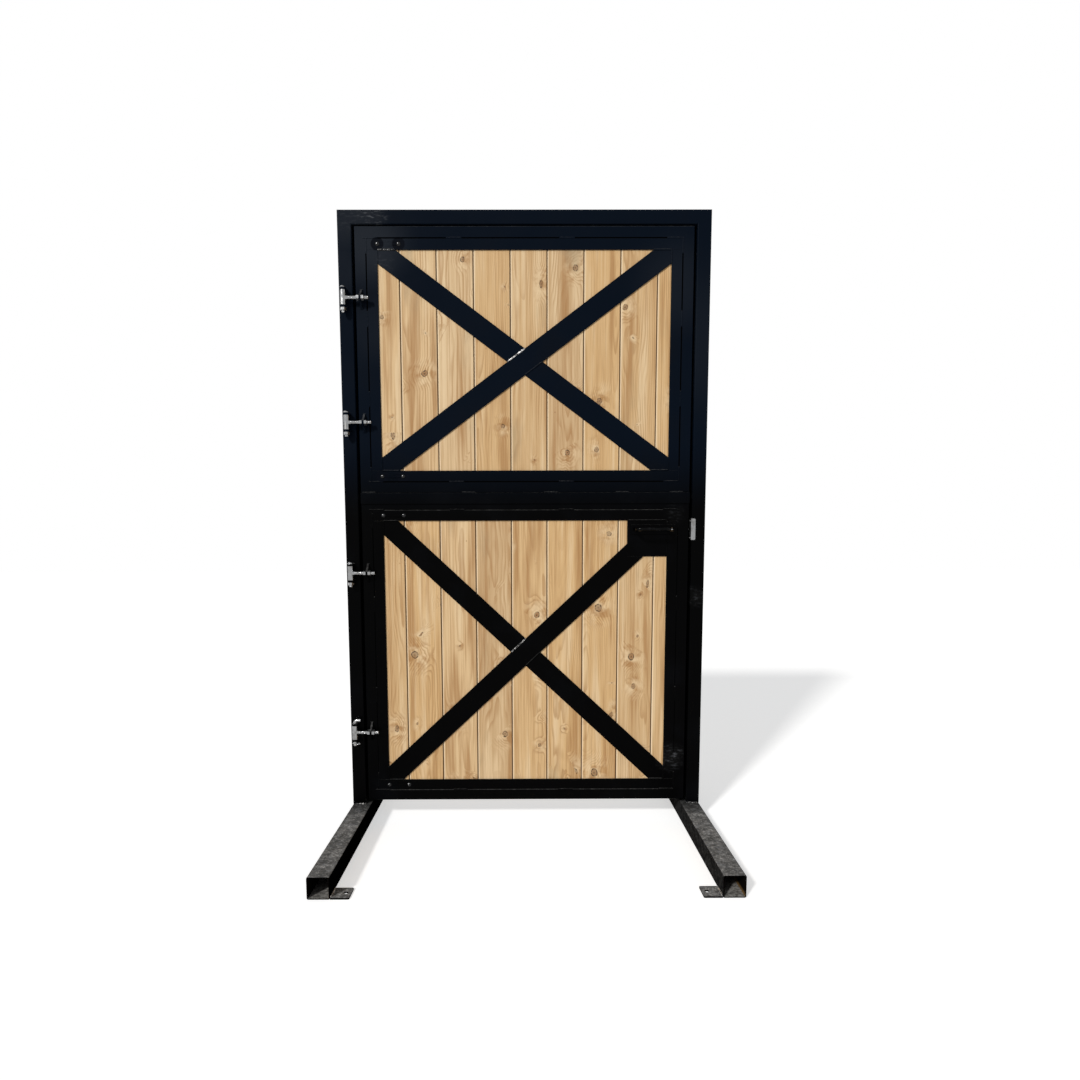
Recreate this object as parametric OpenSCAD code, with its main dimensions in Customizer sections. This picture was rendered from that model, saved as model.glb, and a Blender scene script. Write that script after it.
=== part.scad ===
// Dutch stall door: two hinged leaves, one above the other, in a free-standing welded frame.
// X runs across the doorway, -Y is the front, Z is up, and the origin is on the floor at mid width.

/* [Frame] */
// Outer width of the frame
frame_w = 1320; // [1000:1:1700]
// Height of the frame above the feet
frame_h = 2156; // [1900:1:2600]
// Side of the square frame tube
frame_tube = 50; // [46:1:70]
// Wall of the frame tube
frame_wall = 3; // [2:0.5:6]
// Outer corner radius of the frame tube
frame_r = 4; // [2:0.5:8]
// Width of the stop bars behind the leaves
stop_w = 30; // [20:1:45]
// Thickness of the stop bars
stop_t = 5; // [3:0.5:8]
// Room between a closed leaf and its stop
stop_clear = 0.5; // [0.3:0.1:2]
// Gap between two bars that are welded end to side
weld_gap = 0.2; // [0.1:0.05:0.5]

/* [Feet] */
// Side of the square foot tube
foot_size = 70; // [60:1:100]
// Wall of the foot tube
foot_wall = 4; // [2:0.5:8]
// Outer corner radius of the foot tube
foot_r = 5; // [2:0.5:10]
// Length of each foot, front to back
foot_len = 1219; // [800:1:1300]
// Reach of an anchor tab from the side of the foot
tab_w = 57; // [35:1:90]
// Length of an anchor tab along the foot
tab_len = 64; // [40:1:120]
// Thickness of an anchor tab
tab_t = 5; // [3:0.5:12]
// Radius of the free corners of an anchor tab
tab_r = 4; // [2:1:16]
// Distance of the anchor hole from the side of the foot
tab_hole_out = 40; // [20:1:70]
// Diameter of the anchor hole
tab_hole_d = 14; // [8:0.5:18]

/* [Leaves] */
// Gap between a leaf and each jamb
leaf_gap = 10; // [8:0.5:16]
// Gap between the upper leaf and the head
head_gap = 6; // [4:0.5:15]
// Gap between the lower leaf and the feet
foot_gap = 15; // [8:0.5:40]
// Height of the upper leaf
upper_leaf_h = 928; // [700:1:1150]
// Gap between the two leaves
split_gap = 21; // [12:0.5:30]
// Side of the square leaf tube
leaf_tube = 40; // [34:1:44]
// Wall of the leaf tube
leaf_wall = 3; // [2:0.5:5]
// Outer corner radius of the leaf tube
leaf_r = 3; // [1.5:0.5:5]
// Length of a channel leg over the boards
channel_leg = 40; // [30:1:60]
// Thickness of the channels and braces
channel_t = 4; // [3:0.5:6]
// Outer bend radius of the channels
channel_r = 4; // [2:0.5:6]
// Width of a brace
brace_w = 75; // [40:1:100]
// Leg of the lap angle under the upper leaf
lap_leg = 40; // [35:1:50]
// Thickness of the lap angle
lap_t = 4; // [3:0.5:6]
// Room between the lap angle and the lower leaf
lap_clear = 1.5; // [1:0.25:4]

/* [Boards] */
// Cover width of a board
board_w = 131; // [80:1:180]
// Width of the ripped board at the hinge side
first_board_w = 112; // [70:1:130]
// Narrowest strip that is left as a board of its own
min_rip = 40; // [30:1:60]
// Depth of the V joint
v_depth = 3; // [1:0.25:5]
// Thickness of the tongue
tongue_t = 9; // [6:0.5:12]
// Length of the tongue
tongue_len = 8; // [5:0.5:12]
// Room around a board in its channel and around a tongue
board_clear = 0.3; // [0.2:0.05:0.6]
// Room above the boards for swelling
board_top_clear = 2; // [1:0.5:6]

/* [Hinges] */
// Distance of the upper leaf's hinges from its ends
upper_hinge_inset = 249; // [160:1:320]
// Distance of the lower leaf's hinges from its ends
lower_hinge_inset = 270; // [160:1:400]
// Distance of the hinge line from the outer side of the jamb
hinge_edge = 20; // [16:0.5:28]
// Distance of the hinge line in front of the frame
hinge_out = 22; // [20:0.5:34]
// Diameter of the hinge bolts and of the threaded rods
hinge_d = 12; // [10:0.5:13]
// Outer diameter of the hinge barrel
barrel_d = 20; // [17:0.5:24]
// Height of the hinge barrel
barrel_h = 51; // [40:1:70]
// Thickness of the hinge ears on the jamb
ear_t = 8; // [5:0.5:12]
// Running room of a bolt in its bore, on the radius
bore_clear = 0.05; // [0.02:0.01:0.1]
// Room between a barrel and its ears
barrel_clear = 0.4; // [0.2:0.1:1]
// Width across the flats of the nuts
nut_flats = 19; // [17:0.5:22]
// Height of the nuts
nut_h = 10; // [7:0.5:13]
// Diameter of the round bolt heads
head_d = 22; // [18:0.5:26]
// Height of the round bolt heads
head_h = 8; // [5:0.5:10]
// Bolt left free past its nut
bolt_tail = 6; // [3:0.5:15]
// Rim of the ears around the barrel
ear_rim = 1; // [0.5:0.5:3]
// Diameter of the weld around the rod, where it meets the barrel
rod_weld_d = 18; // [14:0.5:19]
// Reach of that weld along the rod
rod_weld_leg = 8; // [4:0.5:12]
// Height of a stile tab at its foot
stile_tab_h = 70; // [50:1:100]
// Thickness of a stile tab
stile_tab_t = 7; // [5:0.5:10]
// Rod left free past its last nut
rod_tail = 15; // [5:0.5:25]
// Straight part of the pull pin's bent head
pin_arm = 10; // [6:0.5:20]
// Diameter of the hairpin clip's wire
clip_d = 3; // [2:0.25:4]
// Radius of the hairpin clip's eye
clip_loop_r = 7; // [5:0.5:9]
// Distance of the hairpin clip below the ear
clip_drop = 8; // [5:0.5:12]
// Room around the hairpin clip's wire
clip_clear = 0.3; // [0.2:0.05:0.5]

/* [Flange bolts] */
// Spacing of the two round-head bolts of a pair
flange_bolt_pitch = 75; // [50:1:120]
// Diameter of the flange bolts
flange_bolt_d = 8; // [5:0.5:10]
// Diameter of the flange bolts' heads
flange_head_d = 16; // [12:0.5:20]
// Height of the flange bolts' heads
flange_head_h = 5; // [3:0.5:8]

/* [Latch] */
// Depth of the latch bolt below the top of the lower leaf
latch_drop = 113; // [105:1:130]
// Width of the latch plate
latch_plate_w = 146; // [138:1:200]
// Height of the latch plate
latch_plate_h = 132; // [90:1:180]
// Length of the cover bar
cover_len = 164; // [160:1:190]
// Height of the cover bar
cover_h = 36; // [26:1:44]
// Distance between the posts of the handle
handle_span = 118; // [96:1:124]
// Diameter of the handle rod
handle_d = 12; // [9:0.5:13]
// Distance of the handle rod in front of the leaf
handle_out = 60; // [45:1:80]
// Bend radius of the handle, at the middle of the rod
handle_bend = 14; // [12:1:20]
// Diameter of the latch bolt
latch_d = 16; // [14:0.5:18]
// Depth of the latch bolt's middle behind the face of the leaf
latch_depth = 14; // [14:0.5:17]
// Travel of the latch bolt
latch_travel = 18; // [14:0.5:22]
// Reach of the drawn bolt into the gap
latch_show = 4; // [2:0.5:5]
// Chamfer of the latch bolt's tip
latch_tip_taper = 3; // [1:0.5:4]
// Sliding room around the latch bolt and the handle posts
latch_clear = 0.5; // [0.3:0.1:1]
// Height of the strike
strike_h = 78; // [66:1:100]
// Width of the strike's lip on the face of the jamb
strike_lip = 16; // [10:1:24]
// Depth of the strike along the side of the jamb
strike_depth = 36; // [32:1:44]
// Thickness of the strike
strike_t = 2; // [1.5:0.25:3]
// Height of the slot in the strike
strike_slot_h = 44; // [24:1:48]
// Room around the latch bolt in the strike and the jamb
pocket_clear = 2; // [1:0.5:3]
// Diameter of the strike's screws
strike_screw_d = 5; // [3:0.5:6]
// Diameter of the heads of the strike's screws
strike_screw_head_d = 8; // [6:0.5:10]
// Height of the heads of the strike's screws
strike_screw_head_h = 2; // [1:0.5:3]

/* [Hidden] */
$fn = 48;
eps = 0.5;

frame_top = foot_size + frame_h;
face_y = -frame_tube / 2;
jamb_in = frame_w / 2 - frame_tube;
leaf_w = 2 * (jamb_in - leaf_gap);
leaf_x = leaf_w / 2;
leaf_back = face_y + leaf_tube;
rim = leaf_tube + channel_leg;
open_x = leaf_x - rim;

upper_top = frame_top - frame_tube - head_gap;
upper_bottom = upper_top - upper_leaf_h;
lower_top = upper_bottom - split_gap;
lower_bottom = foot_size + foot_gap;

board_x = leaf_x - leaf_tube - channel_t;
board_front = face_y + channel_t + board_clear;
board_back = leaf_back - channel_t - board_clear;
board_mid = (board_front + board_back) / 2;
board_count = 1 + ceil((2 * board_x - first_board_w - min_rip) / board_w);

hinge_x = -frame_w / 2 + hinge_edge;
hinge_y = face_y - hinge_out;
hinge_bore_r = hinge_d / 2 + bore_clear;
upper_hinges = [upper_top - upper_hinge_inset, upper_bottom + upper_hinge_inset];
lower_hinges = [lower_top - lower_hinge_inset, lower_bottom + lower_hinge_inset];
bolted_hinges = [upper_hinges[0], upper_hinges[1], lower_hinges[0]];
pinned_hinge = lower_hinges[1];
ear_r = barrel_d / 2 + ear_rim;
ear_inner = barrel_h / 2 + barrel_clear;
ear_outer = ear_inner + ear_t;
nut_r = nut_flats / sqrt(3);
nut_chamfer = (nut_r - nut_flats / 2) * tan(30);
stile_tab_x = -leaf_x + leaf_tube / 2;
rod_end = stile_tab_x + stile_tab_t / 2 + nut_h + rod_tail;
pin_bend_r = hinge_d;

flange_bolt_x = -open_x;
flange_bolt_r = flange_bolt_d / 2;

latch_z = lower_top - latch_drop;
latch_y = face_y + latch_depth;
latch_bore_r = latch_d / 2 + latch_clear;
latch_tip = leaf_x + latch_show;
post_r = handle_d / 2;
post_slot_r = post_r + latch_clear;
cover_end = leaf_x - leaf_tube - latch_clear * 2 - channel_t * 2;
handle_right = cover_end - latch_travel - 2 * post_slot_r;
handle_left = handle_right - handle_span;
latch_tail = handle_left - latch_d;
strike_screw_hole_r = strike_screw_d / 2 + bore_clear;
strike_screw_z = (strike_h + strike_slot_h) / 4;
jamb_pocket = latch_d + 2 * pocket_clear;

steel = [0.06, 0.07, 0.09];
dusty_steel = [0.3, 0.3, 0.3];
zinc = [0.72, 0.72, 0.7];
pine = [0.8, 0.63, 0.42];

board_numbers = [1 : board_count];

// Square with round corners, from the origin
module rounded_square(size, r) {
    translate([r, 0]) square([size - 2 * r, size]);
    translate([0, r]) square([size, size - 2 * r]);
    for (x = [r, size - r], y = [r, size - r]) translate([x, y]) circle(r);
}

// Section of a square tube
module tube_section(size, wall, r) {
    difference() {
        rounded_square(size, r);
        translate([wall, wall]) square(size - 2 * wall);
    }
}

// Square tube along Z whose X = 0 side is the outer one; a mitred end is cut at 45 degrees
module mitred_tube(length, size, wall, r, low_mitre, high_mitre) {
    intersection() {
        linear_extrude(length) tube_section(size, wall, r);
        translate([0, size, 0]) rotate([90, 0, 0]) linear_extrude(size)
            polygon([[0, 0], [size, low_mitre ? size : 0],
                     [size, length - (high_mitre ? size : 0)], [0, length]]);
    }
}

// Lays children that run along Z, with X pointing inwards, on one edge of a rectangle
module on_edge(edge, width, bottom, top) {
    if (edge == "left") translate([-width / 2, face_y, bottom]) children();
    if (edge == "right") mirror([1, 0, 0]) translate([-width / 2, face_y, bottom]) children();
    if (edge == "top") translate([-width / 2, face_y, top]) rotate([0, 90, 0]) children();
    if (edge == "bottom") translate([width / 2, face_y, bottom]) rotate([0, -90, 0]) children();
}

// Domed bolt head that stands on Z = 0
module dome(diameter, height) {
    radius = (diameter * diameter / 4 + height * height) / (2 * height);
    intersection() {
        translate([0, 0, height - radius]) sphere(radius, $fn = 96);
        cylinder(d = diameter, h = height);
    }
}

// Hexagon nut along Z with its bore and chamfered corners
module nut() {
    difference() {
        intersection() {
            cylinder(r = nut_r, h = nut_h, $fn = 6);
            rotate_extrude() polygon([[0, 0], [nut_flats / 2, 0], [nut_r, nut_chamfer],
                                      [nut_r, nut_h - nut_chamfer], [nut_flats / 2, nut_h], [0, nut_h]]);
        }
        translate([0, 0, -eps]) cylinder(r = hinge_bore_r, h = nut_h + 2 * eps);
    }
}

// Frame

module frame_jamb(edge) {
    on_edge(edge, frame_w, foot_size, frame_top)
        mitred_tube(frame_h, frame_tube, frame_wall, frame_r, false, true);
}

module hinge_jamb() {
    color(steel) frame_jamb("left");
}

module latch_jamb() {
    color(steel) difference() {
        frame_jamb("right");
        translate([jamb_in - eps, latch_y - jamb_pocket / 2, latch_z - jamb_pocket / 2])
            cube([frame_wall + 2 * eps, jamb_pocket, jamb_pocket]);
        for (side = [-1, 1]) translate([jamb_in - eps, latch_y, latch_z + side * strike_screw_z])
            rotate([0, 90, 0]) cylinder(r = strike_screw_hole_r, h = frame_wall + 2 * eps);
    }
}

module head() {
    color(steel) on_edge("top", frame_w, foot_size, frame_top)
        mitred_tube(frame_w, frame_tube, frame_wall, frame_r, true, true);
}

module foot() {
    translate([-frame_w / 2, -foot_len / 2, foot_size]) rotate([-90, 0, 0])
        linear_extrude(foot_len) tube_section(foot_size, foot_wall, foot_r);
}

module left_foot() {
    color(dusty_steel) foot();
}

module right_foot() {
    color(dusty_steel) mirror([1, 0, 0]) foot();
}

// Plate from the inner side of a foot, with its hole nearer the free edge
module anchor_tab() {
    difference() {
        union() {
            square([tab_w - tab_r, tab_len]);
            translate([0, tab_r]) square([tab_w, tab_len - 2 * tab_r]);
            for (y = [tab_r, tab_len - tab_r]) translate([tab_w - tab_r, y]) circle(tab_r);
        }
        translate([tab_hole_out, tab_len / 2]) circle(d = tab_hole_d);
    }
}

module anchor_tabs() {
    color(dusty_steel) for (mx = [0, 1], my = [0, 1]) mirror([mx, 0, 0]) mirror([0, my, 0])
        translate([-frame_w / 2 + foot_size, -foot_len / 2, 0])
            linear_extrude(tab_t) anchor_tab();
}

module door_stops() {
    stop_y = leaf_back + stop_clear;
    head_low = frame_top - frame_tube;
    color(steel) {
        for (mx = [0, 1]) mirror([mx, 0, 0]) translate([-jamb_in, stop_y, foot_size])
            cube([stop_w, stop_t, head_low - foot_size]);
        translate([-jamb_in + stop_w + weld_gap, stop_y, head_low - stop_w])
            cube([2 * (jamb_in - stop_w - weld_gap), stop_t, stop_w]);
    }
}

// Hinge parts on the frame

module ear() {
    linear_extrude(ear_t) difference() {
        union() {
            circle(ear_r);
            translate([-ear_r, 0]) square([2 * ear_r, hinge_out]);
        }
        circle(hinge_bore_r);
    }
}

module hinge_ears() {
    color(steel) for (z = concat(upper_hinges, lower_hinges), base = [ear_inner, -ear_outer])
        translate([hinge_x, hinge_y, z + base]) ear();
}

module hinge_bolts() {
    shank = 2 * ear_outer + nut_h + bolt_tail;
    color(zinc) for (z = bolted_hinges) translate([hinge_x, hinge_y, z + ear_outer]) {
        dome(head_d, head_h);
        translate([0, 0, -shank]) cylinder(d = hinge_d, h = shank + eps);
    }
}

module hinge_bolt_nuts() {
    color(zinc) for (z = bolted_hinges)
        translate([hinge_x, hinge_y, z - ear_outer - nut_h]) nut();
}

// Removable pin with a bent head and a cross hole for its clip
module pull_pin() {
    low = -ear_outer - 2 * clip_drop;
    color(zinc) translate([hinge_x, hinge_y, pinned_hinge]) difference() {
        union() {
            translate([0, 0, low]) cylinder(d = hinge_d, h = ear_outer - low);
            translate([pin_bend_r, 0, ear_outer]) rotate([90, 0, 180])
                rotate_extrude(angle = 90) translate([pin_bend_r, 0]) circle(d = hinge_d);
            translate([pin_bend_r, 0, ear_outer + pin_bend_r]) rotate([0, 90, 0])
                cylinder(d = hinge_d, h = pin_arm);
        }
        translate([-hinge_d, 0, -ear_outer - clip_drop]) rotate([0, 90, 0])
            cylinder(d = clip_d + 2 * clip_clear, h = 2 * hinge_d);
    }
}

// Wire clip: one leg through the pin, an eye, and one leg in front of the pin
module hairpin_clip() {
    leg = 3 * clip_loop_r;
    short_end = clip_loop_r / 2;
    gap = hinge_d / 2 + clip_d / 2 + clip_clear;
    color(zinc) translate([hinge_x, hinge_y, pinned_hinge - ear_outer - clip_drop]) {
        translate([-leg / 2, 0, 0]) rotate([0, 90, 0]) cylinder(d = clip_d, h = leg);
        translate([-short_end, -gap, 0]) rotate([0, 90, 0])
            cylinder(d = clip_d, h = leg / 2 + short_end);
        translate([leg / 2 + clip_loop_r / 2, -gap / 2, 0])
            rotate_extrude() translate([clip_loop_r, 0]) circle(d = clip_d);
    }
}

// Strike on the latch jamb: a slotted leg in the gap and a lip on the face
module strike() {
    corner = strike_lip / 3;
    color(zinc) translate([jamb_in, 0, latch_z]) difference() {
        union() {
            translate([-strike_t, face_y - strike_t, -strike_h / 2])
                cube([strike_t, strike_depth, strike_h]);
            translate([-strike_t, face_y, 0]) rotate([90, 0, 0]) linear_extrude(strike_t) {
                translate([0, -strike_h / 2]) square([strike_lip - corner, strike_h]);
                translate([0, -strike_h / 2 + corner]) square([strike_lip, strike_h - 2 * corner]);
                for (side = [-1, 1]) translate([strike_lip - corner, side * (strike_h / 2 - corner)])
                    circle(corner);
            }
        }
        translate([-strike_t - eps, latch_y - jamb_pocket / 2, -strike_slot_h / 2])
            cube([strike_t + 2 * eps, jamb_pocket, strike_slot_h]);
        for (side = [-1, 1]) translate([-strike_t - eps, latch_y, side * strike_screw_z])
            rotate([0, 90, 0]) cylinder(r = strike_screw_hole_r, h = strike_t + 2 * eps);
    }
}

module strike_screws() {
    length = strike_t + frame_wall + strike_screw_head_h;
    color(zinc) for (side = [-1, 1])
        translate([jamb_in - strike_t, latch_y, latch_z + side * strike_screw_z]) {
            rotate([0, -90, 0]) cylinder(d = strike_screw_head_d, h = strike_screw_head_h);
            rotate([0, 90, 0]) cylinder(d = strike_screw_d, h = length);
        }
}

// Leaf parts, shared by both leaves

module leaf_side(edge, bottom, top) {
    length = (edge == "top" || edge == "bottom") ? leaf_w : top - bottom;
    on_edge(edge, leaf_w, bottom, top)
        mitred_tube(length, leaf_tube, leaf_wall, leaf_r, true, true);
}

// Folded channel along Z with its web at X = 0
module channel(length) {
    linear_extrude(length) difference() {
        union() {
            translate([channel_r, 0]) square([channel_leg - channel_r, leaf_tube]);
            translate([0, channel_r]) square([channel_leg, leaf_tube - 2 * channel_r]);
            for (y = [channel_r, leaf_tube - channel_r]) translate([channel_r, y]) circle(channel_r);
        }
        translate([channel_t, channel_t])
            square([channel_leg, leaf_tube - 2 * channel_t]);
    }
}

// Centres of the flange bolts of one leaf
function flange_bolts_at(bottom, top) = [
    for (z = [top - leaf_tube - channel_leg / 2, bottom + leaf_tube + channel_leg / 2],
         x = [flange_bolt_x, flange_bolt_x + flange_bolt_pitch]) [x, face_y, z]];

// Ring of four channels inside the tubes, drilled for the flange bolts
module leaf_channels(bottom, top) {
    inner_w = leaf_w - 2 * leaf_tube;
    side_bottom = bottom + rim + weld_gap;
    side_top = top - rim - weld_gap;
    difference() {
        for (edge = ["top", "bottom"])
            on_edge(edge, inner_w, bottom + leaf_tube, top - leaf_tube) channel(inner_w);
        for (p = flange_bolts_at(bottom, top)) translate(p) rotate([90, 0, 0])
            cylinder(r = flange_bolt_r + bore_clear, h = 2 * channel_t + 2 * eps, center = true);
    }
    for (edge = ["left", "right"])
        on_edge(edge, inner_w, side_bottom, side_top) channel(side_top - side_bottom);
}

module flange_bolts(bottom, top) {
    for (p = flange_bolts_at(bottom, top)) translate(p) rotate([90, 0, 0]) {
        dome(flange_head_d, flange_head_h);
        translate([0, 0, -channel_t]) cylinder(r = flange_bolt_r, h = channel_t + eps);
    }
}

// Plan of board i, with a groove on its left edge and a tongue on its right edge
module board_plan(i) {
    first = i == 1;
    last = i == board_count;
    left = first ? -board_x + board_clear
                 : -board_x + first_board_w + (i - 2) * board_w + board_clear / 2;
    right = last ? board_x - board_clear
                 : -board_x + first_board_w + (i - 1) * board_w - board_clear / 2;
    half = tongue_t / 2;
    slot = half + board_clear;
    slot_end = left + tongue_len + 2 * board_clear;
    tip = right + tongue_len;
    left_edge = first
        ? [[left, board_back], [left, board_front]]
        : [[left + v_depth, board_back], [left, board_back - v_depth],
           [left, board_mid + slot], [slot_end, board_mid + slot],
           [slot_end, board_mid - slot], [left, board_mid - slot],
           [left, board_front + v_depth], [left + v_depth, board_front]];
    right_edge = last
        ? [[right, board_front], [right, board_back]]
        : [[right - v_depth, board_front], [right, board_front + v_depth],
           [right, board_mid - half], [tip, board_mid - half],
           [tip, board_mid + half], [right, board_mid + half],
           [right, board_back - v_depth], [right - v_depth, board_back]];
    polygon(concat(left_edge, right_edge));
}

module board(i, bottom, top) {
    seat = bottom + leaf_tube + channel_t;
    translate([0, 0, seat])
        linear_extrude(top - leaf_tube - channel_t - board_top_clear - seat) board_plan(i);
}

// Rectangle of the open panel, seen from the front
module panel(bottom, top) {
    translate([-open_x, bottom + rim]) square([2 * open_x, top - bottom - 2 * rim]);
}

// Bar from corner to corner of the panel; rise is 1 for the rising bar and -1 for the falling one
module diagonal(bottom, top, rise, width) {
    height = top - bottom - 2 * rim;
    length = norm([2 * open_x, height]) + 2 * width;
    translate([0, (bottom + top) / 2]) rotate(rise * atan2(height, 2 * open_x))
        square([length, width], center = true);
}

// Stands a front view up in the plane of the channels' front legs
module in_face() {
    translate([0, face_y + channel_t, 0]) rotate([90, 0, 0]) linear_extrude(channel_t) children();
}

module long_brace(bottom, top) {
    intersection() {
        panel(bottom, top);
        diagonal(bottom, top, 1, brace_w);
    }
}

module short_braces(bottom, top) {
    difference() {
        intersection() {
            panel(bottom, top);
            diagonal(bottom, top, -1, brace_w);
        }
        diagonal(bottom, top, 1, brace_w);
    }
}

// Tapered tab that stands on the stile and takes the threaded rod
module stile_tab() {
    tip_r = hinge_d;
    translate([stile_tab_x - stile_tab_t / 2, 0, 0]) rotate([90, 0, 90])
        linear_extrude(stile_tab_t) difference() {
            union() {
                polygon([[face_y, -stile_tab_h / 2], [face_y, stile_tab_h / 2],
                         [hinge_y, tip_r], [hinge_y, -tip_r]]);
                translate([hinge_y, 0]) circle(tip_r);
            }
            translate([hinge_y, 0]) circle(hinge_bore_r);
        }
}

module stile_tabs(heights) {
    for (z = heights) translate([0, 0, z]) stile_tab();
}

// Barrel with its threaded rod and the weld between them
module hinge_eye() {
    barrel_r = barrel_d / 2;
    weld_base = sqrt(barrel_r * barrel_r - rod_weld_d * rod_weld_d / 4);
    translate([hinge_x, hinge_y, 0]) difference() {
        union() {
            translate([0, 0, -barrel_h / 2]) cylinder(d = barrel_d, h = barrel_h);
            rotate([0, 90, 0]) cylinder(d = hinge_d, h = rod_end - hinge_x);
            translate([weld_base, 0, 0]) rotate([0, 90, 0])
                cylinder(d1 = rod_weld_d, d2 = hinge_d, h = barrel_r + rod_weld_leg - weld_base);
        }
        translate([0, 0, -barrel_h / 2 - eps]) cylinder(r = hinge_bore_r, h = barrel_h + 2 * eps);
    }
}

module hinge_eyes(heights) {
    for (z = heights) translate([0, 0, z]) hinge_eye();
}

module rod_nuts(heights) {
    left_face = stile_tab_x - stile_tab_t / 2 - nut_h;
    right_face = stile_tab_x + stile_tab_t / 2;
    for (z = heights, x = [left_face, right_face])
        translate([x, hinge_y, z]) rotate([0, 90, 0]) nut();
}

// Lower leaf

module lower_top_rail() {
    color(steel) leaf_side("top", lower_bottom, lower_top);
}

module lower_bottom_rail() {
    color(steel) leaf_side("bottom", lower_bottom, lower_top);
}

module lower_hinge_stile() {
    color(steel) leaf_side("left", lower_bottom, lower_top);
}

// Bore through the latch side for the latch bolt
module latch_bore() {
    length = leaf_tube + 2 * channel_t;
    translate([leaf_x - length, latch_y, latch_z]) rotate([0, 90, 0])
        cylinder(r = latch_bore_r, h = length + eps);
}

module lower_latch_stile() {
    color(steel) difference() {
        leaf_side("right", lower_bottom, lower_top);
        latch_bore();
    }
}

// Slots that the handle posts slide in
module post_slots() {
    for (x = [handle_left, handle_right])
        translate([x - post_slot_r, face_y - 2 * channel_t, latch_z - post_slot_r])
            cube([latch_travel + 2 * post_slot_r, 3 * channel_t + eps, 2 * post_slot_r]);
}

module lower_channels() {
    color(steel) difference() {
        leaf_channels(lower_bottom, lower_top);
        latch_bore();
        post_slots();
    }
}

// Front view of the latch plate, in the corner of the panel
module latch_corner() {
    translate([open_x - latch_plate_w, lower_top - rim - latch_plate_h])
        square([latch_plate_w, latch_plate_h]);
}

module lower_long_brace() {
    color(steel) in_face() difference() {
        long_brace(lower_bottom, lower_top);
        latch_corner();
    }
}

module lower_short_braces() {
    color(steel) in_face() short_braces(lower_bottom, lower_top);
}

module lower_stile_tabs() {
    color(steel) stile_tabs(lower_hinges);
}

module lower_hinge_eyes() {
    color(zinc) hinge_eyes(lower_hinges);
}

module lower_rod_nuts() {
    color(zinc) rod_nuts(lower_hinges);
}

module lower_flange_bolts() {
    color(steel) flange_bolts(lower_bottom, lower_top);
}

// Pocket in the boards behind the latch plate
module latch_pocket() {
    room = latch_bore_r + latch_clear;
    translate([latch_tail - latch_clear, board_front - eps, latch_z - room])
        cube([leaf_x - latch_tail, latch_y + room - board_front + eps, 2 * room]);
}

module lower_board(i) {
    color(pine) difference() {
        board(i, lower_bottom, lower_top);
        latch_pocket();
    }
}

// Latch

module latch_plate() {
    color(steel) difference() {
        in_face() latch_corner();
        post_slots();
    }
}

module latch_cover() {
    color(steel) difference() {
        translate([cover_end - cover_len, face_y - channel_t, latch_z - cover_h / 2])
            cube([cover_len, channel_t, cover_h]);
        post_slots();
    }
}

module latch_bolt() {
    length = latch_tip - latch_tip_taper - latch_tail;
    color(zinc) difference() {
        translate([latch_tail, latch_y, latch_z]) rotate([0, 90, 0]) {
            cylinder(d = latch_d, h = length);
            translate([0, 0, length])
                cylinder(d1 = latch_d, d2 = latch_d - 2 * latch_tip_taper, h = latch_tip_taper);
        }
        for (x = [handle_left, handle_right]) translate([x, latch_y, latch_z]) rotate([90, 0, 0])
            cylinder(r = post_r + bore_clear, h = latch_d);
    }
}

// Bent rod: two posts, two bends and the grip
module latch_handle() {
    grip_y = face_y - handle_out;
    post = latch_y - grip_y - handle_bend;
    color(steel) translate([0, 0, latch_z]) {
        for (x = [handle_left, handle_right]) translate([x, latch_y, 0]) rotate([90, 0, 0])
            cylinder(d = handle_d, h = post);
        translate([handle_left + handle_bend, grip_y + handle_bend, 0]) rotate([0, 0, 180])
            rotate_extrude(angle = 90) translate([handle_bend, 0]) circle(d = handle_d);
        translate([handle_right - handle_bend, grip_y + handle_bend, 0]) rotate([0, 0, 270])
            rotate_extrude(angle = 90) translate([handle_bend, 0]) circle(d = handle_d);
        translate([handle_left + handle_bend, grip_y, 0]) rotate([0, 90, 0])
            cylinder(d = handle_d, h = handle_span - 2 * handle_bend);
    }
}

// Upper leaf

module upper_top_rail() {
    color(steel) leaf_side("top", upper_bottom, upper_top);
}

module upper_bottom_rail() {
    color(steel) leaf_side("bottom", upper_bottom, upper_top);
}

module upper_hinge_stile() {
    color(steel) leaf_side("left", upper_bottom, upper_top);
}

module upper_latch_stile() {
    color(steel) leaf_side("right", upper_bottom, upper_top);
}

module upper_channels() {
    color(steel) leaf_channels(upper_bottom, upper_top);
}

module upper_long_brace() {
    color(steel) in_face() long_brace(upper_bottom, upper_top);
}

module upper_short_braces() {
    color(steel) in_face() short_braces(upper_bottom, upper_top);
}

module upper_stile_tabs() {
    color(steel) stile_tabs(upper_hinges);
}

module upper_hinge_eyes() {
    color(zinc) hinge_eyes(upper_hinges);
}

module upper_rod_nuts() {
    color(zinc) rod_nuts(upper_hinges);
}

module upper_flange_bolts() {
    color(steel) flange_bolts(upper_bottom, upper_top);
}

module upper_board(i) {
    color(pine) board(i, upper_bottom, upper_top);
}

// Angle under the upper leaf whose leg hangs in front of the lower leaf
module lap_strip() {
    lap_front = face_y - lap_clear - lap_t;
    color(steel) translate([-leaf_x, lap_front, upper_bottom]) rotate([90, 0, 90])
        linear_extrude(leaf_w)
            polygon([[0, 0], [lap_leg, 0], [lap_leg, -lap_t], [lap_t, -lap_t],
                     [lap_t, -lap_leg], [0, -lap_leg]]);
}

hinge_jamb();
latch_jamb();
head();
left_foot();
right_foot();
anchor_tabs();
door_stops();
hinge_ears();
hinge_bolts();
hinge_bolt_nuts();
pull_pin();
hairpin_clip();
strike();
strike_screws();

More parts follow.
